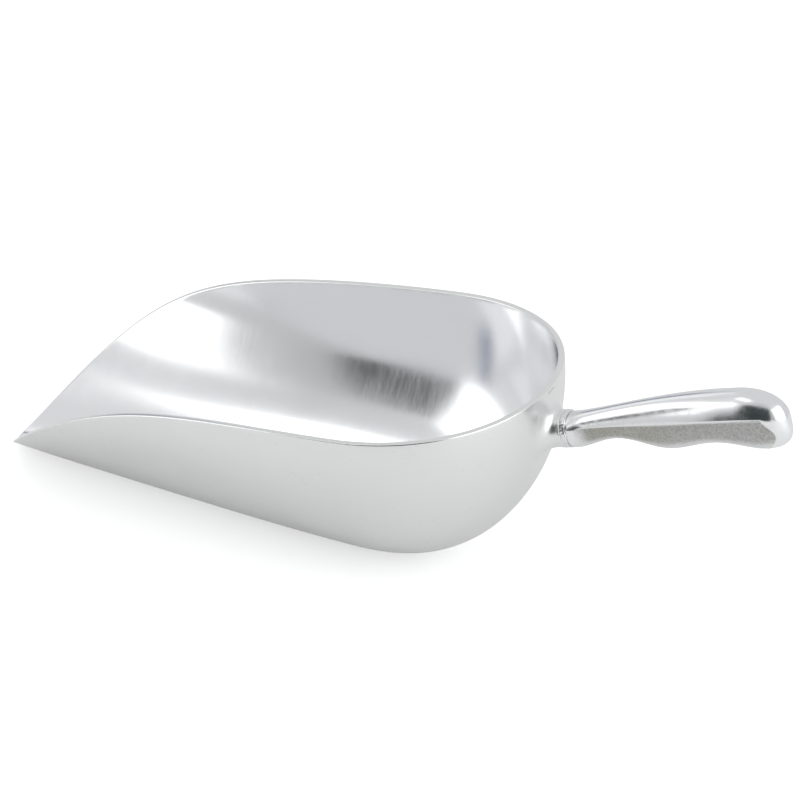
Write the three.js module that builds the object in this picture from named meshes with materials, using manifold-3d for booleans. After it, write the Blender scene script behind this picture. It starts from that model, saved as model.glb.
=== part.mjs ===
// Ice scoop: an aluminium bowl with a flared boss on its back wall, a contoured grip whose tang
// sits in the boss, and the ring of weld that fills the groove between the two. Millimetres.
//
// Everything is drawn in the rim's frame: the flat rim lies on z = 0, the centre of the rounded
// back is at x = 0, the lip is toward -X and the grip toward +X. The finished group is then tipped
// until the straight keel lies on the ground, with the origin under the middle of the scoop.
import * as THREE from 'three';
import { mergeVertices } from 'three/addons/utils/BufferGeometryUtils.js';
import Module from 'manifold-3d';

const wasm = await Module();
wasm.setup();

const bowl = {
  halfWidth: 80, // widest half width, at the centre of the back
  backRadius: 84.6, // from that centre to the outside of the back wall
  depth: 98.8, // from the rim down to the keel
  length: 223.5, // from that centre to the tip of the lip
  wall: 3.3,
  lipWall: 1.7, // the casting thins toward the lip
  backPower: 2.1, // 2 is a round back seen from above, more is squarer
  keelSlope: 0.116, // rise of the keel toward the lip, against the rim
  keelBlend: 13, // length over which the keel turns into that slope
  waist: -0.63, // the sides draw in ahead of the back...
  spread: 0.7, // ...and open again toward the lip
  roundnessBack: 0.76, // weight of the section's conic arc: 0.707 is an ellipse, 0 a plain V
  roundnessMiddle: 0.67,
  roundnessLip: 0.143,
  rimDropStart: -40, // where the fall begins, too slight there to see
  rimDropPower: 5.05,
  rimDropFinish: 1.13,
};

const neck = {
  reach: 91.5, // distance from the back's centre to the end face of the boss
  drop: 22.8, // of the neck's axis below the rim
  tilt: 0.185, // the grip's rise against the rim, in radians
  radius: 9.5, // of the boss at its end face
  collar: 1.6, // straight length behind the end face
  flare: 11, // how far the boss spreads over the back wall
  sink: 0.4, // its foot is this far below the wall's surface
  root: 7, // how far it reaches through the wall before the inside is trimmed
  beadWidth: 2.4,
  gap: 0.3, // clearance between pieces that touch
  tangRadius: 5,
  tangLength: 8,
};

const grip = {
  length: 121.2, // from the neck's end face to the end of the grip
  topStart: 8.1,
  topRise: 9.9, // how much the back of the grip climbs...
  topRun: 92, // ...and over what length
  topPower: 1.25,
  creaseStart: 3.6, // the crease between the polished back and the rough flanks
  creaseRise: 2.4,
  creaseFrom: 10,
  creaseTo: 90,
  ledge: 0.9, // how far the polished back stands out over the flanks
  ledgeEnd: 112, // the flank's panel stops in a small step short of the end
  belly: -9.7, // underside at the neck, before the finger grooves
  bellySlope: -0.041,
  grooves: [
    { from: 2, to: 55, depth: 5.4 },
    { from: 55, to: 108.5, depth: 3.7 },
  ],
  shoulder: 1.13, // the polished arc ends this far round from the top, in radians, not upright
  halfWidthNeck: 7.4,
  halfWidthEnd: 11,
  collar: 1.2, // extra half width where the grip meets the neck
  collarRun: 9,
  roundFrom: 96, // where the end starts to round off
  endTopPower: 2.1,
  endSidePower: 2.4,
  endBottomPower: 4,
  flankPower: 2.6,
};

const frontStations = 30; // along each side, from the back's centre to the lip
const backStations = 24; // around the back, from side to side
const meridianSteps = 13; // from the keel up to the rim
const gripStations = 34;
const gripSides = 32;
const roundSides = 32; // boss, bead and tang
const flareSteps = 7;

// ---- Bowl ---------------------------------------------------------------------------------

// Height of the outside of the keel: a parabola that runs into a straight slope.
function keelHeight(x) {
  const ahead = Math.max(-x, 0);
  const blend = bowl.keelBlend;
  const run = ahead < blend ? (ahead * ahead) / (2 * blend) : ahead - blend / 2;
  return -bowl.depth + bowl.keelSlope * run;
}

function sideHalfWidth(x) {
  const along = -x / bowl.length;
  return bowl.halfWidth * (1 + bowl.waist * along ** 2 + bowl.spread * along ** 3);
}

// The rim stays flat round the back and falls to meet the keel at the lip.
function rimHeight(x) {
  const start = bowl.rimDropStart;
  const along = THREE.MathUtils.clamp((-x - start) / (bowl.length - start), 0, 1);
  const fall = 1 - (1 - along ** bowl.rimDropPower) ** bowl.rimDropFinish;
  return keelHeight(-bowl.length) * fall;
}

function wallAt(x) {
  const along = THREE.MathUtils.clamp(-x / bowl.length, 0, 1);
  return bowl.wall - (bowl.wall - bowl.lipWall) * along ** 3;
}

// Point on a conic arc that leaves the keel level and would meet the rim plane upright.
// Returns [sideways, upward], each from 0 to 1.
function conicPoint(weight, t) {
  const middle = 2 * weight * t * (1 - t);
  const total = (1 - t) ** 2 + middle + t * t;
  return [(middle + t * t) / total, (t * t) / total];
}

// The t at which that arc has climbed to the fraction `climb`.
function conicReach(weight, climb) {
  const root = climb * weight + Math.sqrt((climb * weight) ** 2 + climb * (1 - climb));
  return root / (root + 1 - climb);
}

// Where the falling rim meets the inner floor, found by halving.
function innerLength() {
  let low = bowl.length * 0.8;
  let high = bowl.length;
  for (let step = 0; step < 40; step += 1) {
    const middle = (low + high) / 2;
    if (rimHeight(-middle) > keelHeight(-middle) + wallAt(-middle)) low = middle;
    else high = middle;
  }
  return low;
}

// One line of points from the keel to the rim, at station x on one side.
function sideMeridian(x, side, inner) {
  const inset = inner ? wallAt(x) : 0;
  const floor = keelHeight(x) + inset;
  const top = Math.max(rimHeight(x), floor);
  const width = sideHalfWidth(x) - inset;
  const along = -x / bowl.length;
  const weight = THREE.MathUtils.lerp(bowl.roundnessMiddle, bowl.roundnessLip, along ** 2);
  const reach = conicReach(weight, THREE.MathUtils.clamp(1 - top / floor, 0, 1));
  const points = [];
  for (let step = 0; step <= meridianSteps; step += 1) {
    const [out, up] = conicPoint(weight, (reach * step) / meridianSteps);
    points.push(new THREE.Vector3(x, side * width * out, floor * (1 - up)));
  }
  return points;
}

// The same around the back, at an angle from straight back: +90 degrees is the +Y side.
function backMeridian(angle, inner) {
  const inset = inner ? bowl.wall : 0;
  const power = 2 / bowl.backPower;
  const backward = Math.max(Math.cos(angle), 0) ** power;
  const sideways = Math.sign(angle) * Math.abs(Math.sin(angle)) ** power;
  const turn = Math.cos(angle) ** 2;
  const weight = THREE.MathUtils.lerp(bowl.roundnessMiddle, bowl.roundnessBack, turn);
  const points = [];
  for (let step = 0; step <= meridianSteps; step += 1) {
    const [out, up] = conicPoint(weight, step / meridianSteps);
    const x = (bowl.backRadius - inset) * backward * out;
    const y = (bowl.halfWidth - inset) * sideways * out;
    points.push(new THREE.Vector3(x, y, (inset - bowl.depth) * (1 - up)));
  }
  return points;
}

// All the meridians, from the lip along the +Y side, around the back and out along the -Y side.
function meridians(inner) {
  const reach = inner ? innerLength() : bowl.length;
  const stations = [];
  for (let i = 0; i < frontStations; i += 1) {
    const fromLip = i / frontStations;
    stations.push(-reach * (1 - fromLip ** 1.8));
  }
  const left = stations.map((x) => sideMeridian(x, 1, inner));
  const right = stations.map((x) => sideMeridian(x, -1, inner)).reverse();
  const around = [];
  for (let i = 0; i <= backStations; i += 1) {
    around.push(backMeridian(Math.PI * (0.5 - i / backStations), inner));
  }
  return [...left, ...around, ...right];
}

// ---- Meshes and solids --------------------------------------------------------------------

function pushTriangle(list, a, b, c) {
  const flat = a.distanceTo(b) < 1e-3 || b.distanceTo(c) < 1e-3 || c.distanceTo(a) < 1e-3;
  if (!flat) list.push(a.x, a.y, a.z, b.x, b.y, b.z, c.x, c.y, c.z);
}

// Skins a grid of rows of points; rows run one way and points the other.
function skin(list, rows, flipped) {
  for (let i = 0; i + 1 < rows.length; i += 1) {
    for (let j = 0; j + 1 < rows[i].length; j += 1) {
      const [a, b] = [rows[i][j], rows[i + 1][j]];
      const [c, d] = [rows[i + 1][j + 1], rows[i][j + 1]];
      if (flipped) {
        pushTriangle(list, a, c, b);
        pushTriangle(list, a, d, c);
      } else {
        pushTriangle(list, a, b, c);
        pushTriangle(list, a, c, d);
      }
    }
  }
}

function geometryOf(list) {
  const geometry = new THREE.BufferGeometry();
  geometry.setAttribute('position', new THREE.Float32BufferAttribute(list, 3));
  return mergeVertices(geometry, 1e-4);
}

function solidOf(source) {
  const bare = source.clone();
  bare.deleteAttribute('normal');
  bare.deleteAttribute('uv');
  const merged = mergeVertices(bare, 1e-4);
  return new wasm.Manifold(new wasm.Mesh({
    numProp: 3,
    vertProperties: new Float32Array(merged.attributes.position.array),
    triVerts: new Uint32Array(merged.index.array),
  }));
}

function geometryFrom(solid) {
  const mesh = solid.getMesh();
  const geometry = new THREE.BufferGeometry();
  geometry.setAttribute('position', new THREE.BufferAttribute(mesh.vertProperties, 3));
  geometry.setIndex(new THREE.BufferAttribute(mesh.triVerts, 1));
  return geometry;
}

// A turned piece on the neck's axis. The profile lists [distance along the axis, radius].
function turned(profile) {
  const outline = profile.map(([along, radius]) => new THREE.Vector2(radius, along));
  const geometry = new THREE.LatheGeometry(outline, roundSides);
  geometry.rotateZ(-Math.PI / 2);
  return placeOnNeck(geometry);
}

function placeOnNeck(geometry) {
  geometry.rotateY(-neck.tilt);
  geometry.translate(neck.reach, 0, -neck.drop);
  return geometry;
}

// ---- The three pieces ---------------------------------------------------------------------

function bowlShell() {
  const outer = meridians(false);
  const inner = meridians(true);
  const list = [];
  skin(list, outer, true);
  skin(list, inner, false);
  const rim = outer.map((row, i) => [row[meridianSteps], inner[i][meridianSteps]]);
  skin(list, rim, true);
  return solidOf(geometryOf(list));
}

// The space inside the wall, closed across the rim, to trim the boss flush with the inner wall.
function bowlHollow() {
  const inner = meridians(true);
  const list = [];
  skin(list, inner, true);
  const edge = inner.map((row) => row[meridianSteps]);
  const half = Math.floor(edge.length / 2);
  const lid = edge.slice(0, half + 1).map((point, i) => [point, edge[edge.length - 1 - i]]);
  skin(list, lid, true);
  return solidOf(geometryOf(list));
}

// How far back the outside of the back wall stands, at a place on it given by y and z.
function backWallX(y, z) {
  const sideways = Math.abs(y) / bowl.halfWidth;
  const weight = THREE.MathUtils.lerp(bowl.roundnessMiddle, bowl.roundnessBack, 1 - sideways ** 2);
  const [out] = conicPoint(weight, conicReach(weight, 1 + z / bowl.depth));
  const backward = (1 - (sideways / out) ** bowl.backPower) ** (1 / bowl.backPower);
  return bowl.backRadius * out * backward;
}

function onNeck(along, y, up) {
  const point = new THREE.Vector3(along, y, up);
  point.applyAxisAngle(new THREE.Vector3(0, 1, 0), -neck.tilt);
  return point.add(new THREE.Vector3(neck.reach, 0, -neck.drop));
}

// The boss: a round end face, a short collar, then at every angle round the neck a quadratic
// curve that leaves the collar along the axis and runs out level with the wall at its foot.
function makeBoss() {
  const rootX = backWallX(0, -neck.drop) - neck.root;
  const rootCentre = new THREE.Vector3(rootX, 0, -neck.drop);
  const rings = [];
  for (let i = 0; i <= roundSides; i += 1) {
    const turn = (2 * Math.PI * (i % roundSides)) / roundSides;
    const [across, up] = [Math.sin(turn), Math.cos(turn)];
    const edge = onNeck(0, neck.radius * across, neck.radius * up);
    const start = onNeck(-neck.collar, neck.radius * across, neck.radius * up);
    const spread = neck.radius + neck.flare;
    const foot = new THREE.Vector3(0, spread * across, spread * up - neck.drop);
    foot.x = backWallX(foot.y, foot.z) - neck.sink;
    const bend = onNeck(0, neck.radius * across, neck.radius * up);
    bend.x = backWallX(bend.y, bend.z) + neck.sink;
    const curve = new THREE.QuadraticBezierCurve3(start, bend, foot).getPoints(flareSteps);
    const root = new THREE.Vector3(foot.x - neck.root, foot.y, foot.z);
    rings.push([onNeck(0, 0, 0), edge, ...curve, root, rootCentre]);
  }
  const list = [];
  skin(list, rings, false);
  return solidOf(geometryOf(list));
}

function tangProfile(radius, from, to) {
  return [[from, 0], [from, radius], [to, radius], [to, 0]];
}

function makeBowl() {
  const boss = makeBoss().subtract(bowlHollow());
  const socketRadius = neck.tangRadius + neck.gap;
  const socketFloor = -neck.tangLength - neck.gap;
  const socket = solidOf(turned(tangProfile(socketRadius, socketFloor, 1)));
  return geometryFrom(bowlShell().add(boss).subtract(socket));
}

// A ring with a rounded outside, proud of the boss and the grip on both sides of it.
function makeBead() {
  const inside = neck.tangRadius + neck.gap;
  const middle = neck.gap + neck.beadWidth / 2;
  const profile = [];
  for (let step = 0; step <= 8; step += 1) {
    const angle = Math.PI * (step / 8);
    const along = middle - (Math.cos(angle) * neck.beadWidth) / 2;
    profile.push([along, neck.radius - 0.6 + 0.7 * Math.sin(angle)]);
  }
  profile.unshift([neck.gap, inside]);
  profile.push([neck.gap + neck.beadWidth, inside]);
  profile.push([neck.gap, inside]);
  return turned(profile);
}

// Quarter sine rise from 0 to 1 over a run.
function climb(along, run) {
  return Math.sin((Math.PI / 2) * THREE.MathUtils.clamp(along / run, 0, 1));
}

function gripTop(along) {
  return grip.topStart + grip.topRise * climb(along, grip.topRun) ** grip.topPower;
}

function gripCrease(along) {
  const climbed = THREE.MathUtils.smoothstep(along, grip.creaseFrom, grip.creaseTo);
  return grip.creaseStart + grip.creaseRise * climbed;
}

// A straight underside with a sine-squared hollow for each finger groove.
function gripBottom(along) {
  let height = grip.belly + grip.bellySlope * along;
  for (const groove of grip.grooves) {
    const across = THREE.MathUtils.clamp((along - groove.from) / (groove.to - groove.from), 0, 1);
    height += groove.depth * Math.sin(Math.PI * across) ** 2;
  }
  return height;
}

function gripHalfWidth(along) {
  const swell = THREE.MathUtils.smoothstep(along, 18, 88);
  const collar = grip.collar * (1 - THREE.MathUtils.smoothstep(along, 3, 3 + grip.collarRun));
  return THREE.MathUtils.lerp(grip.halfWidthNeck, grip.halfWidthEnd, swell) + collar;
}

// One closed section of the grip, from the top round the +Y side: a polished arc that stops at its
// shoulder on the crease, then a squarer flank set in by the ledge, down to the underside.
function gripSection(along) {
  const past = Math.max(along - grip.roundFrom, 0) / (grip.length - grip.roundFrom);
  const round = (power) => Math.max(1 - past ** power, 0) ** (1 / power);
  const top = gripTop(along);
  const bottom = gripBottom(along);
  const centre = (top + bottom) / 2;
  const crease = centre + (gripCrease(along) - centre) * round(grip.endTopPower);
  const roof = centre + (top - centre) * round(grip.endTopPower) - crease;
  const depth = crease - centre - (bottom - centre) * round(grip.endBottomPower);
  const width = gripHalfWidth(along) * round(grip.endSidePower);
  const settled = THREE.MathUtils.smoothstep(along, 5, 16);
  const stopped = THREE.MathUtils.smoothstep(along, grip.ledgeEnd - 1.5, grip.ledgeEnd + 1.5);
  const flank = width - grip.ledge * settled * (1 - stopped) * round(grip.endSidePower);
  const points = [];
  for (let side = 0; side < gripSides; side += 1) {
    const turn = (2 * Math.PI * side) / gripSides;
    const up = Math.cos(turn);
    const out = Math.sin(turn);
    if (up > -1e-9) {
      const arc = (Math.asin(out) / (Math.PI / 2)) * grip.shoulder;
      const y = (width * Math.sin(arc)) / Math.sin(grip.shoulder);
      const drop = (1 - Math.cos(arc)) / (1 - Math.cos(grip.shoulder));
      points.push(new THREE.Vector3(along, y, crease + roof * (1 - drop)));
    } else {
      const power = 2 / grip.flankPower;
      const y = Math.sign(out) * Math.abs(out) ** power * flank;
      points.push(new THREE.Vector3(along, y, crease - depth * Math.abs(up) ** power));
    }
  }
  return points;
}

function makeGrip() {
  const start = neck.beadWidth + 2 * neck.gap;
  const rows = [];
  for (let i = 0; i <= gripStations; i += 1) {
    const even = i / gripStations;
    const along = start + (grip.length - start) * Math.sin((Math.PI / 2) * even ** 0.9);
    rows.push(gripSection(along));
  }
  const list = [];
  const closed = rows.map((row) => [...row, row[0]]);
  skin(list, closed, false);
  const middle = new THREE.Vector3(start, 0, 0);
  const ring = closed[0];
  for (let side = 0; side < gripSides; side += 1) {
    pushTriangle(list, middle, ring[side], ring[side + 1]);
  }
  const body = solidOf(placeOnNeck(geometryOf(list)));
  const tang = turned(tangProfile(neck.tangRadius, -neck.tangLength, start + 2));
  return geometryFrom(body.add(solidOf(tang)));
}

// ---- Assembly -----------------------------------------------------------------------------

function piece(name, geometry, colour, roughness) {
  const material = new THREE.MeshStandardMaterial({ color: colour, roughness, metalness: 1 });
  const mesh = new THREE.Mesh(geometry, material);
  mesh.name = name;
  return mesh;
}

const scoop = new THREE.Group();
scoop.add(piece('bowl', makeBowl(), 0xd2d4d6, 0.3));
scoop.add(piece('neck_weld_bead', makeBead(), 0xc8cacc, 0.35));
scoop.add(piece('handle', makeGrip(), 0xc4c6c8, 0.4));

// Tip the scoop onto its keel, stand it on z = 0 and centre it.
scoop.rotation.y = -Math.atan(bowl.keelSlope);
scoop.updateMatrixWorld(true);
const bounds = new THREE.Box3().setFromObject(scoop, true);
scoop.position.x = -(bounds.min.x + bounds.max.x) / 2;
scoop.position.z = -bounds.min.z;
scoop.updateMatrixWorld(true);

export default scoop;
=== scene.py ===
import bpy
import bmesh
import math
import numpy as np
from mathutils import Matrix, Vector


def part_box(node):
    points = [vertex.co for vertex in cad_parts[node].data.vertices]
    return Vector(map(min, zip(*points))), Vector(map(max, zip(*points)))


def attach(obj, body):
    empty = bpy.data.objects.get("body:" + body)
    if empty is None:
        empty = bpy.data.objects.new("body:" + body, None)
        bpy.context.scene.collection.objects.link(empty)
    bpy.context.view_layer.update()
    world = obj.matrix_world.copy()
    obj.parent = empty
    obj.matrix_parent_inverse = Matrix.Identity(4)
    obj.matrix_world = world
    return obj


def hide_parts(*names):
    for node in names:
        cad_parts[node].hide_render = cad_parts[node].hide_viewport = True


# Ice scoop in cast aluminium: a thin polished bowl, the weld ring at its neck and a contoured grip.
# Metres throughout. Shapes are worked out in the rim's frame, where the flat rim lies on z = 0, the
# centre of the rounded back is at x = 0 and the lip is toward -X, then tipped onto the keel.

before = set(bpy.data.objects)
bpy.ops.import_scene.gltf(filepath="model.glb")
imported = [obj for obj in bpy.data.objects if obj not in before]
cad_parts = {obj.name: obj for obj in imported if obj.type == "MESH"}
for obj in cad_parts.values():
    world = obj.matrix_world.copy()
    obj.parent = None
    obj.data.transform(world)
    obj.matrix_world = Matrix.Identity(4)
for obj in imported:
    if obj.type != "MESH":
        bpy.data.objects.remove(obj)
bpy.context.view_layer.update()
print("frame loaded:", sorted(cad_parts))

bowlShape = {
    "halfWidth": 0.080,
    "backRadius": 0.0846,
    "depth": 0.0988,
    "length": 0.2235,  # from the centre of the back to the tip of the lip
    "wall": 0.0033,
    "lipWall": 0.0017,
    "backPower": 2.1,  # 2 is a round back seen from above, more is squarer
    "keelSlope": 0.116,
    "keelBlend": 0.013,
    "waist": -0.63,  # the sides draw in ahead of the back...
    "spread": 0.7,  # ...and open again toward the lip
    "roundBack": 0.76,  # weight of the section's conic arc: 0.707 is an ellipse, 0 a plain V
    "roundMiddle": 0.67,
    "roundLip": 0.143,
    "rimDropStart": -0.040,
    "rimDropPower": 5.05,
    "rimDropFinish": 1.13,
    "edgeRadius": 0.0008,  # the rim's two edges are eased this much...
    "edgeShare": 0.45,  # ...or by this share of the metal there is, toward the lip
    "frontRows": 120,
    "frontCrowding": 1.8,  # above 1, rows stand closer together at the lip
    "backRows": 96,
    "backCrowding": 0.25,  # 0 spaces the rows round the back evenly
    "rise": 76,  # steps from the keel up to the rim
    "edgeRows": 6,  # rows of points round each eased edge
}

neckShape = {
    "reach": 0.0915,  # from the back's centre to the end face of the boss
    "drop": 0.0228,  # of the neck's axis below the rim
    "tilt": 0.185,  # rise of the grip against the rim, in radians
    "radius": 0.0095,
    "collar": 0.0016,
    "flare": 0.011,  # how far the boss spreads over the back wall
    "edge": 0.0009,  # rounding of the boss's end over the top...
    "edgeUnder": 0.0002,  # ...and underneath, where the weld is dressed flush
    "socket": 0.0053,
    "socketDepth": 0.0083,
    "gap": 0.0003,
    "bendLift": 0.0002,  # the flare's curve is drawn toward a point this far off the wall
    "patchReach": 0.024,  # the block of wall given over to the boss, sideways and downward...
    "patchTop": 0.0035,  # ...and how far under the rim it starts
    "dressedFrom": -0.5,  # the weld is flush where the cosine round the neck is under this...
    "dressedRun": 0.7,  # ...and at its full height this much higher
    "flareSteps": 26,
    "apronSteps": 14,  # from the foot of the flare out to the plain wall
}

tip = math.atan(bowlShape["keelSlope"])
rimFloor = bowlShape["depth"] + bowlShape["keelSlope"] * bowlShape["keelBlend"] / 2
lipDepth = rimFloor - bowlShape["keelSlope"] * bowlShape["length"]
rimOrigin = np.array([
    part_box("bowl")[0].x + math.cos(tip) * bowlShape["length"] - math.sin(tip) * lipDepth,
    0.0,
    math.cos(tip) * rimFloor,
])


def toGround(points):
    # Turns rim coordinates by the keel's slope and lifts them so that the keel lies on z = 0.
    turn = np.array([
        [math.cos(tip), 0.0, -math.sin(tip)],
        [0.0, 1.0, 0.0],
        [math.sin(tip), 0.0, math.cos(tip)],
    ])
    return points @ turn.T + rimOrigin


def onNeck(along, across, up):
    # Neck coordinates to rim coordinates: the neck's axis runs through the boss and rises by its tilt.
    turn = neckShape["tilt"]
    x = neckShape["reach"] + np.cos(turn) * along - np.sin(turn) * up
    z = np.sin(turn) * along + np.cos(turn) * up - neckShape["drop"]
    return np.stack(np.broadcast_arrays(x, across, z), axis=-1)


# ---- mesh helpers

class Skin:
    # Collects grids of points and the quads between their rows.
    def __init__(self):
        self.points, self.quads, self.values, self.count = [], [], [], 0

    def grid(self, points, value=0.0, flip=False):
        rows, columns = points.shape[:2]
        index = np.arange(rows * columns).reshape(rows, columns) + self.count
        quads = [index[:-1, :-1], index[1:, :-1], index[1:, 1:], index[:-1, 1:]]
        if flip:
            quads.reverse()
        self.points.append(points.reshape(-1, 3))
        self.quads.append(np.stack(quads, axis=-1).reshape(-1, 4))
        self.values.append(np.broadcast_to(value, (rows, columns)).reshape(-1))
        self.count += rows * columns

    def build(self, name, attribute=None):
        points = np.concatenate(self.points)
        quads = np.concatenate(self.quads)
        mesh = bpy.data.meshes.new(name)
        mesh.from_pydata(points.tolist(), [], quads.tolist())
        if attribute:
            layer = mesh.attributes.new(attribute, "FLOAT", "POINT")
            layer.data.foreach_set("value", np.concatenate(self.values).astype(np.float32))
        work = bmesh.new()
        work.from_mesh(mesh)
        bmesh.ops.remove_doubles(work, verts=work.verts, dist=2e-6)
        bmesh.ops.dissolve_degenerate(work, dist=1e-7, edges=work.edges)
        if work.calc_volume(signed=True) < 0:
            bmesh.ops.reverse_faces(work, faces=work.faces)
        work.to_mesh(mesh)
        work.free()
        mesh.shade_smooth()
        piece = bpy.data.objects.new(name, mesh)
        bpy.context.scene.collection.objects.link(piece)
        print(name, "made:", len(mesh.polygons), "faces")
        return piece


def lerp(a, b, t):
    return a + (b - a) * t


def smooth(t):
    t = np.clip(t, 0.0, 1.0)
    return t * t * (3 - 2 * t)


def overTop(up):
    # 1 over the top and sides of the neck, 0 underneath, where the weld is dressed flush.
    return smooth((up - neckShape["dressedFrom"]) / neckShape["dressedRun"])


# ---- bowl

def keelHeight(x):
    # Minus the depth, plus a parabola that runs into a straight slope toward the lip.
    ahead, blend = np.maximum(-x, 0.0), bowlShape["keelBlend"]
    run = np.where(ahead < blend, ahead ** 2 / (2 * blend), ahead - blend / 2)
    return -bowlShape["depth"] + bowlShape["keelSlope"] * run


def sideWidth(x):
    # Half width times (1 + waist s^2 + spread s^3), with s going from 0 at the back to 1 at the lip.
    s = -x / bowlShape["length"]
    return bowlShape["halfWidth"] * (1 + bowlShape["waist"] * s ** 2 + bowlShape["spread"] * s ** 3)


def rimHeight(x):
    # Lip height times 1 - (1 - t^p)^q: level round the back, then falling to the lip.
    start, length = bowlShape["rimDropStart"], bowlShape["length"]
    t = np.clip((-x - start) / (length - start), 0.0, 1.0)
    fall = 1 - (1 - t ** bowlShape["rimDropPower"]) ** bowlShape["rimDropFinish"]
    return keelHeight(np.array(-length)) * fall


def wallAt(x):
    # The wall's thickness, thinning with the cube of the way to the lip.
    s = np.clip(-x / bowlShape["length"], 0.0, 1.0)
    return lerp(bowlShape["wall"], bowlShape["lipWall"], s ** 3)


def conicPoint(weight, t):
    # Rational quadratic arc from (0, 0), level, to (1, 1), upright.
    middle = 2 * weight * t * (1 - t)
    total = (1 - t) ** 2 + middle + t * t
    return (middle + t * t) / total, t * t / total


def conicReach(weight, climb):
    # The t at which that arc has climbed to the given fraction.
    root = climb * weight + np.sqrt((climb * weight) ** 2 + climb * (1 - climb))
    return root / (root + 1 - climb)


def innerLength():
    # Where the falling rim meets the inner floor, found by halving.
    low, high = bowlShape["length"] * 0.8, bowlShape["length"]
    for step in range(40):
        middle = np.array((low + high) / 2)
        if rimHeight(-middle) > keelHeight(-middle) + wallAt(-middle):
            low = float(middle)
        else:
            high = float(middle)
    return low


def sidePoints(x, side, v, inner, lower):
    # At station x: a conic arc from the keel (v = 0) to `lower` under the rim (v = 1).
    inset = wallAt(x) if inner else 0.0
    floor = keelHeight(x) + inset
    room = np.maximum(rimHeight(x) - floor, 0.0)
    top = floor + room - np.minimum(lower, room * bowlShape["edgeShare"])
    s = -x / bowlShape["length"]
    weight = lerp(bowlShape["roundMiddle"], bowlShape["roundLip"], s ** 2)
    reach = conicReach(weight, np.clip(1 - top / floor, 0.0, 1.0))
    out, up = conicPoint(weight, reach * v)
    y = side * (sideWidth(x) - inset) * out
    return np.stack(np.broadcast_arrays(x, y, floor * (1 - up)), axis=-1)


def backPoints(angle, v, inner, lower):
    # Around the back: a superellipse seen from above, with the same conic arc from keel to rim.
    inset = bowlShape["wall"] if inner else 0.0
    power = 2 / bowlShape["backPower"]
    cosine = np.maximum(np.cos(angle), 0.0)
    backward = cosine ** power
    sideways = np.sign(angle) * np.abs(np.sin(angle)) ** power
    weight = lerp(bowlShape["roundMiddle"], bowlShape["roundBack"], cosine ** 2)
    floor = inset - bowlShape["depth"]
    reach = conicReach(weight, 1 + lower / floor)
    out, up = conicPoint(weight, reach * v)
    x = (bowlShape["backRadius"] - inset) * backward * out
    y = (bowlShape["halfWidth"] - inset) * sideways * out
    return np.stack(np.broadcast_arrays(x, y, floor * (1 - up)), axis=-1)


def allRows(v, inner, lower):
    # Rows of points from the lip along the +Y side, round the back and out along the -Y side.
    count = bowlShape["frontRows"]
    reach = innerLength() if inner else bowlShape["length"]
    x = -reach * (1 - (np.arange(count) / count) ** bowlShape["frontCrowding"])[:, None]
    left = sidePoints(x, 1, v, inner, lower)
    right = sidePoints(x, -1, v, inner, lower)[::-1]
    angle = (math.pi / 2) * backSpread()[:, None]
    return np.concatenate([left, backPoints(angle, v, inner, lower), right])


def backSpread():
    # Rows round the back from +1 to -1, closer together behind, where the boss is.
    even = np.linspace(1, -1, bowlShape["backRows"] + 1)
    return lerp(even, even ** 3, bowlShape["backCrowding"])


def backWallX(y, z):
    # x of the outside of the back wall at (y, z): the same superellipse solved for x.
    s = np.abs(y) / bowlShape["halfWidth"]
    weight = bowlShape["roundBack"]
    for step in range(6):
        out = conicPoint(weight, conicReach(weight, 1 + z / bowlShape["depth"]))[0]
        spread = np.clip(s / out, 0.0, 1.0) ** bowlShape["backPower"]
        weight = lerp(bowlShape["roundMiddle"], bowlShape["roundBack"], 1 - spread)
    return bowlShape["backRadius"] * out * (1 - spread) ** (1 / bowlShape["backPower"])


def bezier(a, b, c, t):
    # Quadratic curve from a to c, drawn toward b.
    return (1 - t) ** 2 * a + 2 * t * (1 - t) * b + t ** 2 * c


def bossRings(border):
    # At every angle round the neck, one line of points: socket floor, socket wall, end face, rounded
    # edge, collar, then a quadratic flare that runs out level with the wall, and on to the border.
    centre = np.array([0.0, -neckShape["drop"]])
    toBorder = border[:, 1:] - centre
    turn = np.arctan2(toBorder[:, 0], toBorder[:, 1])
    across, up = np.sin(turn)[:, None], np.cos(turn)[:, None]
    radius, socket = neckShape["radius"], neckShape["socket"]
    edge = lerp(neckShape["edgeUnder"], neckShape["edge"], overTop(up))
    deep = -neckShape["socketDepth"]
    corner = np.linspace(0, math.pi / 2, bowlShape["edgeRows"])
    alongs = [deep, deep, deep / 2, 0.0, 0.0]
    alongs += [edge * (math.cos(c) - 1) for c in corner]
    alongs += [-neckShape["collar"]]
    radii = [0.0, socket, socket, socket, (socket + radius) / 2]
    radii += [radius - edge + edge * math.sin(c) for c in corner]
    radii += [radius]
    alongs = np.concatenate([part + 0 * up for part in alongs], axis=1)
    radii = np.concatenate([part + 0 * up for part in radii], axis=1)
    neck = onNeck(alongs, radii * across, radii * up)
    foot = np.zeros((len(turn), 3))
    spread = radius + neckShape["flare"]
    foot[:, 1] = spread * across[:, 0]
    foot[:, 2] = spread * up[:, 0] - neckShape["drop"]
    foot[:, 0] = backWallX(foot[:, 1], foot[:, 2])
    bend = onNeck(np.zeros(1), radius * across, radius * up)[:, 0]
    bend[:, 0] = backWallX(bend[:, 1], bend[:, 2]) + neckShape["bendLift"]
    t = np.linspace(0, 1, neckShape["flareSteps"] + 1)[None, 1:, None]
    flare = bezier(neck[:, -1][:, None], bend[:, None], foot[:, None], t)
    w = np.linspace(0, 1, neckShape["apronSteps"] + 1)[1:, None]
    apron = lerp(foot[:, None], border[:, None], w[None])
    apron[..., 0] = backWallX(apron[..., 1], apron[..., 2])
    apron[:, -1] = border
    return np.concatenate([neck, flare, apron], axis=1)


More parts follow.
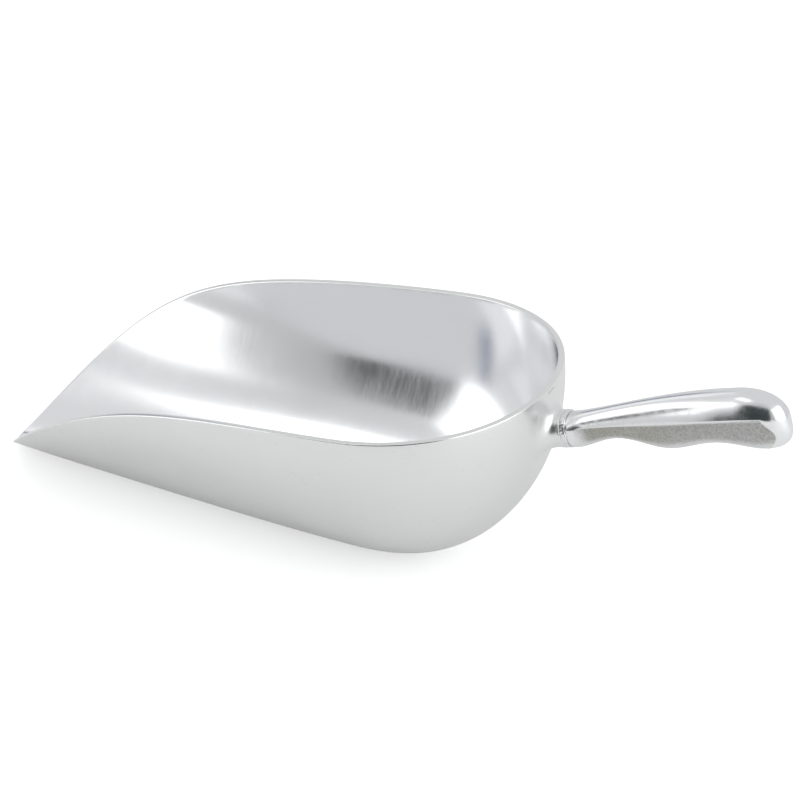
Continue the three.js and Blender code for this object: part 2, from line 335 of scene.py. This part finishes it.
def makeBowl():
    skin = Skin()
    steps = bowlShape["rise"]
    radius = bowlShape["edgeRadius"]
    v = np.linspace(0, 1, steps + 1)[None, :]
    outer = allRows(v, False, radius)
    inner = allRows(v, True, radius)
    outerCorner = allRows(np.ones((1, 1)), False, 0.0)
    innerCorner = allRows(np.ones((1, 1)), True, 0.0)
    across = innerCorner - outerCorner
    width = np.linalg.norm(across, axis=-1, keepdims=True)
    ease = across * np.minimum(radius / np.maximum(width, 1e-6), bowlShape["edgeShare"])
    t = np.linspace(0, 1, bowlShape["edgeRows"])[None, :, None]
    outerEdge = bezier(outer[:, -1:], outerCorner, outerCorner + ease, t)
    innerEdge = bezier(innerCorner - ease, innerCorner, inner[:, -1:], t)
    rim = np.concatenate([outerEdge, innerEdge], axis=1)
    # The outside is left open behind, in a block of whole cells, for the boss to be set into.
    middle = bowlShape["frontRows"] + bowlShape["backRows"] // 2
    height = outer[middle, :, 2]
    low = int(np.searchsorted(height, -neckShape["drop"] - neckShape["patchReach"]))
    high = int(np.searchsorted(height, -neckShape["patchTop"]))
    half = int(np.searchsorted(-outer[middle:, low, 1], neckShape["patchReach"]))
    first, last = middle - half, middle + half
    skin.grid(toGround(outer[: first + 1]), 0.0)
    skin.grid(toGround(outer[last:]), 0.0)
    skin.grid(toGround(outer[first : last + 1, : low + 1]), 0.0)
    skin.grid(toGround(outer[first : last + 1, high:]), 0.0)
    border = np.concatenate([
        outer[first:last, high],
        outer[last, low + 1 : high + 1][::-1],
        outer[first + 1 : last + 1, low][::-1],
        outer[first, low : high],
        outer[first : first + 1, high],
    ])
    rings = bossRings(border)
    skin.grid(toGround(rings), 0.0)
    skin.grid(toGround(inner), 1.0, flip=True)
    skin.grid(toGround(rim), 0.5)
    piece = skin.build("bowl_casting", "side")
    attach(piece, "root")
    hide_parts("bowl")
    return piece


# ---- weld ring

beadShape = {
    "width": 0.0024,
    "overlap": 0.00034,  # the weld runs this far into the pieces on both sides of its groove
    "bulge": 0.0007,
    "shoulder": 0.0006,  # over the top the ring starts this far inside the boss's edge
    "proud": 0.00003,  # how little the ring stands out underneath
    "bore": 0.0051,
    "ripple": 0.00006,
    "ripples": 34,
    "rippleCurve": 1.5,
    "turns": 204,
    "profile": 24,
}


def makeBead():
    # A ring on the neck's axis. Its outside is a half round over the top of the neck and is dressed
    # flush underneath; faint ripples run across it.
    skin = Skin()
    turn = np.linspace(0, 2 * math.pi, beadShape["turns"] + 1)[:, None]
    bend = np.linspace(0, math.pi, beadShape["profile"] + 1)[None, :]
    over = overTop(np.cos(turn))
    start = neckShape["gap"] - beadShape["overlap"]
    end = start + beadShape["width"] + 2 * beadShape["overlap"]
    wave = np.sin(beadShape["ripples"] * turn + beadShape["rippleCurve"] * np.cos(bend))
    ripple = beadShape["ripple"] * np.sin(bend) * wave
    shoulder = lerp(-beadShape["proud"], beadShape["shoulder"], over)
    bulge = lerp(0.0, beadShape["bulge"], over)
    outside = neckShape["radius"] - shoulder + bulge * np.sin(bend) + ripple * over
    along = start + (end - start) * (1 - np.cos(bend)) / 2 + 0 * turn
    skin.grid(toGround(onNeck(along, outside * np.sin(turn), outside * np.cos(turn))))
    bore = beadShape["bore"] + 0 * turn
    radii = np.concatenate([outside[:, -1:], bore, bore, outside[:, :1]], axis=1)
    alongs = np.array([[end, end, start, start]]) + 0 * turn
    skin.grid(toGround(onNeck(alongs, radii * np.sin(turn), radii * np.cos(turn))))
    piece = skin.build("neck_weld_ring")
    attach(piece, "root")
    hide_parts("neck_weld_bead")
    return piece


# ---- grip

gripShape = {
    "length": 0.1212,
    "topStart": 0.0081,
    "topRise": 0.0099,
    "topRun": 0.092,
    "topPower": 1.25,
    "creaseStart": 0.0036,
    "creaseRise": 0.0024,
    "creaseFrom": 0.010,
    "creaseTo": 0.090,
    "panelFrom": 0.005,  # the flank's panel fades in here...
    "panelRun": 0.011,  # ...over this far
    "panelMiddle": 0.45,  # the height, as a share of the section, where the panel reaches furthest
    "ledge": 0.0009,  # the panel is set in by this much
    "ledgeStep": 0.0012,
    "ledgeEnd": 0.1150,  # the rough panel of the flank stops here, in a curve...
    "ledgeCurve": 0.006,  # ...that draws back this far at its top and bottom
    "blend": 0.008,  # underneath, the section starts as a continuation of the round boss
    "belly": -0.0097,
    "bellySlope": -0.041,
    "grooves": [(0.002, 0.055, 0.0054), (0.055, 0.1085, 0.0037)],
    "shoulder": 1.13,  # the polished arc ends this far round from the top, in radians
    "neckWidth": 0.0074,
    "endWidth": 0.011,
    "swellFrom": 0.018,
    "swellRun": 0.070,
    "collar": 0.0012,
    "collarFrom": 0.003,
    "collarRun": 0.009,
    "roundFrom": 0.096,
    "endTop": 2.1,
    "endSide": 2.4,
    "endBottom": 4.0,
    "flank": 2.6,
    "underFrom": 0.5,  # toward the underside the rough skin's colour and roughness give way to the polished ones...
    "underRun": 0.3,
    "underLightAndPolish": 0.7,  # ...by this share: a painted lighter band along the rounded bottom edge, where the metal is also smoother
    "rows": 260,
    "rowPower": 0.9,  # under 1, rows stand closer together toward the end
    "sides": 128,
}

gripStart = 2 * neckShape["gap"] + beadShape["width"]  # past the weld ring and a gap on both sides


def gripPoints(along, turn):
    # Round each section: an arc over the crease that stops at its shoulder, a squarer arc under it.
    # Past roundFrom the section shrinks by superellipse factors to close the end.
    g = gripShape
    past = np.maximum(along - g["roundFrom"], 0) / (g["length"] - g["roundFrom"])

    def closing(power):
        return np.maximum(1 - past ** power, 0.0) ** (1 / power)

    climb = np.sin(math.pi / 2 * np.clip(along / g["topRun"], 0, 1))
    top = g["topStart"] + g["topRise"] * climb ** g["topPower"]
    bottom = g["belly"] + g["bellySlope"] * along
    for start, end, depth in g["grooves"]:
        across = np.clip((along - start) / (end - start), 0, 1)
        bottom = bottom + depth * np.sin(math.pi * across) ** 2
    line = smooth((along - g["creaseFrom"]) / (g["creaseTo"] - g["creaseFrom"]))
    line = g["creaseStart"] + g["creaseRise"] * line
    centre = (top + bottom) / 2
    crease = centre + (line - centre) * closing(g["endTop"])
    roof = centre + (top - centre) * closing(g["endTop"]) - crease
    depth = crease - centre - (bottom - centre) * closing(g["endBottom"])
    swell = smooth((along - g["swellFrom"]) / g["swellRun"])
    collar = g["collar"] * (1 - smooth((along - g["collarFrom"]) / g["collarRun"]))
    width = (lerp(g["neckWidth"], g["endWidth"], swell) + collar) * closing(g["endSide"])
    up, out = np.cos(turn), np.sin(turn)
    panelEnd = g["ledgeEnd"] - g["ledgeCurve"] * ((-up - g["panelMiddle"]) / g["panelMiddle"]) ** 2
    ended = smooth((along - panelEnd + g["ledgeStep"] / 2) / g["ledgeStep"])
    panel = smooth((along - g["panelFrom"]) / g["panelRun"]) * (1 - ended)
    ledge = g["ledge"] * panel * closing(g["endSide"])
    power = 2 / g["flank"]
    upper = up >= -1e-9
    arc = np.arcsin(np.clip(out, -1, 1)) / (math.pi / 2) * g["shoulder"]
    over = width * np.sin(arc) / math.sin(g["shoulder"])
    drop = (1 - np.cos(arc)) / (1 - math.cos(g["shoulder"]))
    y = np.where(upper, over, (width - ledge) * np.sign(out) * np.abs(out) ** power)
    z = np.where(upper, crease + roof * (1 - drop), crease - depth * np.abs(up) ** power)
    joined = (1 - smooth((along - gripStart) / g["blend"])) * (1 - overTop(up))
    y = lerp(y, neckShape["radius"] * out, joined)
    z = lerp(z, neckShape["radius"] * up, joined)
    # The flank value falls toward the underside. Its colour lightens toward the polished tone there,
    # which is painted light along the rounded bottom edge, and its roughness drops as well.
    under = smooth((-up - g["underFrom"]) / g["underRun"])
    rough = np.where(upper, 0.0, 1.0 - g["underLightAndPolish"] * under) * panel
    return onNeck(along + 0 * y, y, z), rough


def makeGrip():
    skin = Skin()
    g = gripShape
    even = np.linspace(0, 1, g["rows"] + 1)[:, None]
    along = gripStart + (g["length"] - gripStart) * np.sin(math.pi / 2 * even ** g["rowPower"])
    turn = np.linspace(0, 2 * math.pi, g["sides"] + 1)[None, :]
    points, flank = gripPoints(along, turn)
    skin.grid(toGround(points), flank)
    # The shoulder and the tang that goes through the ring into the boss.
    ring = points[0]
    tang = neckShape["socket"] - neckShape["gap"]
    tangEnd = neckShape["gap"] - neckShape["socketDepth"]
    alongs = np.array([gripStart, tangEnd, tangEnd])[:, None] + 0 * turn
    radii = np.array([tang, tang, 0.0])[:, None]
    inner = onNeck(alongs, radii * np.sin(turn), radii * np.cos(turn))
    skin.grid(toGround(np.concatenate([ring[None], inner])), 0.0, flip=True)
    piece = skin.build("grip_casting", "flank")
    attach(piece, "root")
    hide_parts("handle")
    return piece


bowl = makeBowl()
bead = makeBead()
grip = makeGrip()


# ---- finishes shared by the materials

class Nodes:
    # Adds nodes to a tree and joins them; an input is a socket to link or a value to set.
    def __init__(self, tree):
        self.tree = tree

    def add(self, kind, settings=None, **inputs):
        node = self.tree.nodes.new(kind)
        for name, value in (settings or {}).items():
            setattr(node, name, value)
        for name, value in inputs.items():
            self.feed(node.inputs[name.replace("_", " ")], value)
        return node

    def feed(self, socket, value):
        if isinstance(value, bpy.types.NodeSocket):
            self.tree.links.new(value, socket)
        else:
            socket.default_value = value

    def math(self, operation, first, second=0.0, third=0.0):
        node = self.add("ShaderNodeMath", {"operation": operation})
        for socket, value in zip(node.inputs, (first, second, third)):
            self.feed(socket, value)
        return node.outputs[0]

    def ramp(self, value, low, high, toLow=0.0, toHigh=1.0):
        node = self.add("ShaderNodeMapRange", {"interpolation_type": "SMOOTHSTEP"}, Value=value)
        limits = {"From Min": low, "From Max": high, "To Min": toLow, "To Max": toHigh}
        for name, limit in limits.items():
            self.feed(node.inputs[name], limit)
        return node.outputs["Result"]

    def blend(self, factor, first, second):
        node = self.add("ShaderNodeMix", {"data_type": "RGBA"})
        for index, value in ((0, factor), (6, first), (7, second)):
            self.feed(node.inputs[index], value)
        return node.outputs[2]

    def between(self, factor, first, second):
        # A value part of the way from the first to the second.
        return self.math("MULTIPLY_ADD", factor, self.math("SUBTRACT", second, first), first)

    def noise(self, vector, scale, **inputs):
        return self.add("ShaderNodeTexNoise", Vector=vector, Scale=scale, **inputs).outputs["Fac"]

    def stretched(self, vector, scale):
        return self.add("ShaderNodeMapping", Vector=vector, Scale=scale).outputs[0]

    def bump(self, height, strength, distance, **inputs):
        node = self.add("ShaderNodeBump", Height=height, Strength=strength, Distance=distance, **inputs)
        return node.outputs[0]


def newGroup(name, inputs, outputs):
    # inputs and outputs are lists of (name, socket kind, starting value)
    tree = bpy.data.node_groups.new(name, "ShaderNodeTree")
    for direction, sockets in (("INPUT", inputs), ("OUTPUT", outputs)):
        for label, kind, value in sockets:
            settings = {"name": label, "in_out": direction, "socket_type": "NodeSocket" + kind}
            socket = tree.interface.new_socket(**settings)
            if value is not None:
                socket.default_value = value
    kit = Nodes(tree)
    return kit, kit.add("NodeGroupInput").outputs, kit.add("NodeGroupOutput").inputs


def makeBrushing():
    # Short polishing strokes: noise squeezed across the stroke, in two widths, broken up by a third.
    kit, given, result = newGroup(
        "polishing_strokes",
        [("Vector", "Vector", None), ("Fineness", "Float", 1.0), ("Breakup", "Float", 0.5)],
        [("Height", "Float", None), ("Mask", "Float", None)],
    )
    place, fineness = given["Vector"], given["Fineness"]
    fine = kit.noise(place, fineness, Detail=3.0)
    broad = kit.noise(place, kit.math("MULTIPLY", fineness, 0.31), Detail=2.0, Distortion=0.3)
    patches = kit.noise(place, kit.math("MULTIPLY", fineness, 0.07), Detail=2.0)
    here = kit.ramp(patches, kit.math("SUBTRACT", 0.62, given["Breakup"]), 0.62)
    both = kit.math("ADD", kit.math("MULTIPLY", fine, 0.6), kit.math("MULTIPLY", broad, 0.4))
    kit.feed(result["Height"], kit.math("MULTIPLY", both, here))
    kit.feed(result["Mask"], kit.ramp(both, 0.42, 0.62))
    return kit.tree


def makeCastSkin():
    # The sand skin of a casting: fine grain over lumps, with a round pit in the middle of some cells.
    kit, given, result = newGroup(
        "cast_skin",
        [
            ("Vector", "Vector", None),
            ("Grain", "Float", 900.0),
            ("Lumps", "Float", 160.0),
            ("Pits", "Float", 220.0),
            ("Pit Amount", "Float", 0.2),
        ],
        [("Height", "Float", None), ("Pits", "Float", None), ("Tone", "Float", None)],
    )
    place = given["Vector"]
    grain = kit.noise(place, given["Grain"], Detail=3.0, Roughness=0.6)
    lumps = kit.noise(place, given["Lumps"], Detail=4.0)
    cells = kit.add("ShaderNodeTexVoronoi", Vector=place, Scale=given["Pits"], Randomness=1.0)
    chance = kit.add("ShaderNodeSeparateColor", Color=cells.outputs["Color"]).outputs[0]
    near = kit.ramp(cells.outputs["Distance"], 0.12, 0.3, 1.0, 0.0)
    pits = kit.math("MULTIPLY", near, kit.math("LESS_THAN", chance, given["Pit Amount"]))
    height = kit.math("ADD", kit.math("MULTIPLY", grain, 0.35), lumps)
    kit.feed(result["Height"], kit.math("SUBTRACT", height, kit.math("MULTIPLY", pits, 0.8)))
    kit.feed(result["Pits"], pits)
    kit.feed(result["Tone"], kit.ramp(lumps, 0.35, 0.65))
    return kit.tree


def makeHandling():
    # Slow changes over a whole surface, where hands and cloths have dulled or brightened it.
    kit, given, result = newGroup(
        "handling",
        [("Vector", "Vector", None), ("Size", "Float", 18.0), ("Contrast", "Float", 0.5)],
        [("Mask", "Float", None), ("Smear", "Float", None)],
    )
    slow = kit.noise(given["Vector"], given["Size"], Detail=3.0, Distortion=0.6)
    width = kit.math("MULTIPLY", kit.math("SUBTRACT", 1.0, given["Contrast"]), 0.3)
    low, high = kit.math("SUBTRACT", 0.5, width), kit.math("ADD", 0.5, width)
    kit.feed(result["Mask"], kit.ramp(slow, low, high))
    quick = kit.math("MULTIPLY", given["Size"], 6.0)
    smear = kit.noise(given["Vector"], quick, Detail=4.0, Distortion=1.2)
    kit.feed(result["Smear"], kit.ramp(smear, 0.4, 0.7))
    return kit.tree


brushing, castSkin, handling = makeBrushing(), makeCastSkin(), makeHandling()


def startMaterial(name):
    material = bpy.data.materials.new(name)
    material.use_nodes = True
    kit = Nodes(material.node_tree)
    shader = material.node_tree.nodes["Principled BSDF"]
    shader.inputs["Metallic"].default_value = 1.0
    place = kit.add("ShaderNodeTexCoord").outputs["Object"]
    return material, kit, shader, place


def groupNode(kit, tree, **inputs):
    node = kit.tree.nodes.new("ShaderNodeGroup")
    node.node_tree = tree
    for name, value in inputs.items():
        kit.feed(node.inputs[name.replace("_", " ")], value)
    return node.outputs


bowlLook = {
    "insideColour": (0.90, 0.905, 0.915, 1),
    "outsideColour": (0.86, 0.865, 0.86, 1),
    "stainColour": (0.83, 0.835, 0.82, 1),
    "stainShare": 0.6,
    "pitColour": (0.35, 0.35, 0.35, 1),
    "pitShare": 0.22,
    "insideRoughness": 0.12,
    "outsideRoughness": 0.28,
    "rimRoughness": 0.24,
    "wearRoughness": 0.05,  # worn and smeared patches are duller by this
    "strokeRoughness": 0.03,
    "strokeStretch": (2200.0, 170.0, 170.0),  # strokes run from the rim down to the keel
    "strokeDepth": 0.0000045,
    "outsideStrokes": 0.2,  # share of that depth on the outside
    "pitDepth": 0.000007,
    "pitStrength": 0.22,
    "wear": {"Size": 14.0, "Contrast": 0.4},
    "skin": {"Grain": 1400.0, "Lumps": 240.0, "Pits": 520.0, "Pit_Amount": 0.05},
}


def bowlMaterial():
    material, kit, shader, place = startMaterial("polished_aluminium")
    look = bowlLook
    side = kit.add("ShaderNodeAttribute", {"attribute_name": "side"}).outputs["Fac"]
    inside = kit.ramp(side, 0.6, 0.9)
    rim = kit.math("SUBTRACT", kit.ramp(side, 0.1, 0.4), inside)
    wear = groupNode(kit, handling, Vector=place, **look["wear"])
    stretched = kit.stretched(place, look["strokeStretch"])
    strokes = groupNode(kit, brushing, Vector=stretched, Fineness=1.0)
    skin = groupNode(kit, castSkin, Vector=place, **look["skin"])
    # Colour: clean inside, faintly stained and pitted outside.
    stained = kit.math("MULTIPLY", wear["Mask"], look["stainShare"])
    outside = kit.blend(stained, look["outsideColour"], look["stainColour"])
    pitted = kit.math("MULTIPLY", skin["Pits"], look["pitShare"])
    outside = kit.blend(pitted, outside, look["pitColour"])
    kit.feed(shader.inputs["Base Color"], kit.blend(inside, outside, look["insideColour"]))
    # Roughness: one for each side of the wall and one for the rim between them.
    dull = kit.math("MULTIPLY_ADD", wear["Smear"], look["wearRoughness"], look["outsideRoughness"])
    bright = kit.math("MULTIPLY_ADD", wear["Mask"], look["wearRoughness"], look["insideRoughness"])
    bright = kit.math("MULTIPLY_ADD", strokes["Mask"], look["strokeRoughness"], bright)
    rough = kit.between(inside, dull, bright)
    kit.feed(shader.inputs["Roughness"], kit.between(rim, rough, look["rimRoughness"]))
    # Relief: the cast skin outside, with the strokes laid over both sides.
    worn = kit.math("MULTIPLY", skin["Height"], kit.math("SUBTRACT", 1.0, inside))
    relief = kit.bump(worn, look["pitStrength"], look["pitDepth"])
    share = kit.math("MULTIPLY_ADD", inside, 1 - look["outsideStrokes"], look["outsideStrokes"])
    marks = kit.math("MULTIPLY", strokes["Height"], share)
    kit.feed(shader.inputs["Normal"], kit.bump(marks, 1.0, look["strokeDepth"], Normal=relief))
    return material


weldLook = {
    "colour": (0.84, 0.845, 0.855, 1),
    "pitColour": (0.4, 0.4, 0.41, 1),
    "pitShare": 0.6,
    "roughness": 0.2,
    "toneRoughness": 0.12,
    "skinDepth": 0.00001,
    "skinStrength": 0.3,
    "skin": {"Grain": 2200.0, "Lumps": 500.0, "Pits": 600.0, "Pit_Amount": 0.1},
}


def weldMaterial():
    material, kit, shader, place = startMaterial("weld_aluminium")
    look = weldLook
    skin = groupNode(kit, castSkin, Vector=place, **look["skin"])
    pitted = kit.math("MULTIPLY", skin["Pits"], look["pitShare"])
    kit.feed(shader.inputs["Base Color"], kit.blend(pitted, look["colour"], look["pitColour"]))
    rough = kit.math("MULTIPLY_ADD", skin["Tone"], look["toneRoughness"], look["roughness"])
    kit.feed(shader.inputs["Roughness"], rough)
    relief = kit.bump(skin["Height"], look["skinStrength"], look["skinDepth"])
    kit.feed(shader.inputs["Normal"], relief)
    return material


gripLook = {
    "polished": (0.86, 0.865, 0.875, 1),
    "speck": (0.4, 0.4, 0.42, 1),
    "speckShare": 0.15,
    "rough": (0.60, 0.60, 0.595, 1),
    "patch": (0.56, 0.555, 0.50, 1),
    "grain": (0.30, 0.30, 0.29, 1),
    "grainContrast": 0.35,
    "pit": (0.3, 0.3, 0.3, 1),
    "pitShare": 0.55,
    "polishedRoughness": 0.17,
    "smearRoughness": 0.06,
    "castRoughness": 0.52,
    "toneRoughness": 0.15,
    "castDepth": 0.0009,
    "castStrength": 0.8,
    "polishedGrain": 0.015,  # share of the cast relief left under the polish
    "wear": {"Size": 40.0, "Contrast": 0.3},
    "skin": {"Grain": 1600.0, "Lumps": 800.0, "Pits": 900.0, "Pit_Amount": 0.35},
}


def gripMaterial():
    material, kit, shader, place = startMaterial("grip_aluminium")
    look = gripLook
    flank = kit.add("ShaderNodeAttribute", {"attribute_name": "flank"}).outputs["Fac"]
    wear = groupNode(kit, handling, Vector=place, **look["wear"])
    skin = groupNode(kit, castSkin, Vector=place, **look["skin"])
    # Colour: grey, grainy and pitted on the flanks, lightening toward their underside as painted light
    # on the rounded edge, bright with a few specks elsewhere.
    rough = kit.blend(wear["Mask"], look["rough"], look["patch"])
    grains = kit.math("MULTIPLY", kit.ramp(skin["Height"], 0.55, 0.85), look["grainContrast"])
    rough = kit.blend(grains, rough, look["grain"])
    rough = kit.blend(kit.math("MULTIPLY", skin["Pits"], look["pitShare"]), rough, look["pit"])
    specks = kit.math("MULTIPLY", skin["Pits"], look["speckShare"])
    polished = kit.blend(specks, look["polished"], look["speck"])
    kit.feed(shader.inputs["Base Color"], kit.blend(flank, polished, rough))
    cast = kit.math("MULTIPLY_ADD", skin["Tone"], look["toneRoughness"], look["castRoughness"])
    shine = kit.math("MULTIPLY_ADD", wear["Smear"], look["smearRoughness"], look["polishedRoughness"])
    kit.feed(shader.inputs["Roughness"], kit.between(flank, shine, cast))
    share = kit.math("MULTIPLY_ADD", flank, 1 - look["polishedGrain"], look["polishedGrain"])
    height = kit.math("MULTIPLY", skin["Height"], share)
    kit.feed(shader.inputs["Normal"], kit.bump(height, look["castStrength"], look["castDepth"]))
    return material


bowl.data.materials.append(bowlMaterial())
bead.data.materials.append(weldMaterial())
grip.data.materials.append(gripMaterial())
print("materials made")


# ---- floor, light and camera

stageLook = {
    "floorSize": 6.0,
    "floorColour": (0.88, 0.88, 0.88, 1),
    "floorGlow": 0.04,  # keeps the floor from going dark in the metal's reflections
    "floorLift": 0.42,  # extra white of the floor as the camera sees it
    "tentTone": (0.72, 0.725, 0.735, 1),
    "frontTone": (0.50, 0.505, 0.51, 1),
    "frontBearing": 12,
    "frontElevation": 20,
    "frontSpread": (0.66, 0.92),  # cosines of the angles at which the darker front starts and is full
    "aimHeight": 0.06,
}

view = {
    "azimuth": 23.89,
    "elevation": 31.63,
    "roll": 0.906,
    "distance": 2.809,
    "target": (-0.00895, 0.02972, 0.05901),
    "lens": 249.2,
    "sensor": 36,
}


def towards(bearing, elevation):
    # Unit vector from the scoop out to a place at this bearing and elevation.
    a, e = math.radians(bearing), math.radians(elevation)
    return Vector((math.sin(a) * math.cos(e), -math.cos(a) * math.cos(e), math.sin(e)))


def makeFloor():
    half = stageLook["floorSize"] / 2
    mesh = bpy.data.meshes.new("floor")
    corners = [(-half, -half, 0), (half, -half, 0), (half, half, 0), (-half, half, 0)]
    mesh.from_pydata(corners, [], [(0, 1, 2, 3)])
    floor = bpy.data.objects.new("floor", mesh)
    bpy.context.scene.collection.objects.link(floor)
    material = bpy.data.materials.new("pale_floor")
    material.use_nodes = True
    kit = Nodes(material.node_tree)
    shader = material.node_tree.nodes["Principled BSDF"]
    shader.inputs["Base Color"].default_value = stageLook["floorColour"]
    shader.inputs["Roughness"].default_value = 0.9
    shader.inputs["Emission Color"].default_value = (1, 1, 1, 1)
    seen = kit.add("ShaderNodeLightPath").outputs["Is Camera Ray"]
    glow = kit.math("MULTIPLY_ADD", seen, stageLook["floorLift"], stageLook["floorGlow"])
    kit.feed(shader.inputs["Emission Strength"], glow)
    mesh.materials.append(material)


# Soft boxes, and cards that glow only into the metal's reflections, standing round the scoop: bearing
# and elevation of the centre and the tilt back from upright in degrees, the rest in metres. Bearing 0
# is straight in front of the scoop's side and -90 is off its lip.
softBoxes = {
    "key_box": {
        "bearing": -54, "elevation": 28, "tilt": 0, "distance": 1.0,
        "size": (0.78, 0.6), "light": 0.96,
    },
    "upper_box": {
        "bearing": -36, "elevation": 59, "tilt": 59, "distance": 1.1,
        "size": (0.36, 0.2), "light": 1.1,
    },
    "side_box": {
        "bearing": 78, "elevation": 24, "tilt": 24, "distance": 1.1,
        "size": (1.1, 1.0), "light": 1.1,
    },
    "rear_box": {
        "bearing": -107, "elevation": 42, "tilt": 42, "distance": 1.1,
        "size": (0.4, 0.5), "light": 0.25,
    },
}
# Cards: glowing sheets that no camera ray, shadow or diffuse light meets. They show only in the metal,
# as painted reflections: near black to the left and in front, blue-grey behind.
reflectionCards = {
    "left_reflection_card": {
        "bearing": -25.5, "elevation": 27.5, "tilt": 0, "distance": 0.314,
        "size": (0.06, 0.14), "tone": (0.015, 0.015, 0.015, 1),
    },
    "front_reflection_card": {
        "bearing": 14, "elevation": 26.5, "tilt": 0, "distance": 0.585,
        "size": (0.57, 0.57), "tone": (0.04, 0.05, 0.05, 1),
    },
    "rear_reflection_card": {
        "bearing": -130, "elevation": 26, "tilt": 26, "distance": 1.1,
        "size": (0.24, 0.6), "tone": (0.28, 0.31, 0.38, 1),
    },
}


def faceScoop(item, place):
    centre = towards(place["bearing"], place["elevation"]) * place["distance"]
    item.location = Vector((0, 0, stageLook["aimHeight"])) + centre
    item.rotation_mode = "QUATERNION"
    item.rotation_quaternion = towards(place["bearing"], place["tilt"]).to_track_quat("Z", "Y")
    item.visible_camera = False
    bpy.context.scene.collection.objects.link(item)


def makeSoftBoxes():
    for name, box in softBoxes.items():
        lamp = bpy.data.lights.new(name, "AREA")
        lamp.shape = "RECTANGLE"
        lamp.size, lamp.size_y = box["size"]
        lamp.energy = box["light"] * math.pi * lamp.size * lamp.size_y  # watts for that radiance
        faceScoop(bpy.data.objects.new(name, lamp), box)


def makeReflectionCards():
    for name, reflectionCard in reflectionCards.items():
        # Each card glows with its tone, and it is hidden from shadows and diffuse light as well as the
        # camera. It is a painted reflection in the metal.
        width, height = (side / 2 for side in reflectionCard["size"])
        mesh = bpy.data.meshes.new(name)
        corners = [(-width, -height, 0), (width, -height, 0), (width, height, 0), (-width, height, 0)]
        mesh.from_pydata(corners, [], [(0, 1, 2, 3)])
        material = bpy.data.materials.new(name)
        material.use_nodes = True
        shader = material.node_tree.nodes["Principled BSDF"]
        shader.inputs["Base Color"].default_value = (0, 0, 0, 1)
        shader.inputs["Specular IOR Level"].default_value = 0.0
        shader.inputs["Emission Color"].default_value = reflectionCard["tone"]
        shader.inputs["Emission Strength"].default_value = 1.0
        mesh.materials.append(material)
        piece = bpy.data.objects.new(name, mesh)
        faceScoop(piece, reflectionCard)
        piece.visible_shadow = False
        piece.visible_diffuse = False


def makeWorld():
    # An even grey tent, a little darker round the front.
    world = bpy.data.worlds.new("studio")
    bpy.context.scene.world = world
    world.use_nodes = True
    kit = Nodes(world.node_tree)
    outward = kit.add("ShaderNodeTexCoord").outputs["Generated"]
    facing = kit.add("ShaderNodeVectorMath", {"operation": "DOT_PRODUCT"})
    kit.feed(facing.inputs[0], outward)
    kit.feed(facing.inputs[1], towards(stageLook["frontBearing"], stageLook["frontElevation"]))
    mask = kit.ramp(facing.outputs["Value"], *stageLook["frontSpread"])
    back = world.node_tree.nodes["Background"]
    kit.feed(back.inputs["Color"], kit.blend(mask, stageLook["tentTone"], stageLook["frontTone"]))
    back.inputs["Strength"].default_value = 1.0


def makeCamera():
    data = bpy.data.cameras.new("camera")
    data.lens = view["lens"]
    data.sensor_width = view["sensor"]
    camera = bpy.data.objects.new("camera", data)
    bpy.context.scene.collection.objects.link(camera)
    back = towards(view["azimuth"], view["elevation"])
    level = (-back).to_track_quat("-Z", "Y")
    roll = Matrix.Rotation(math.radians(view["roll"]), 3, "Z").to_quaternion()
    camera.rotation_mode = "QUATERNION"
    camera.rotation_quaternion = level @ roll
    camera.location = Vector(view["target"]) + back * view["distance"]
    data.clip_start, data.clip_end = 0.1, 50
    bpy.context.scene.camera = camera


makeFloor()
makeSoftBoxes()
makeReflectionCards()
makeWorld()
makeCamera()
bpy.context.scene.view_settings.view_transform = "Standard"
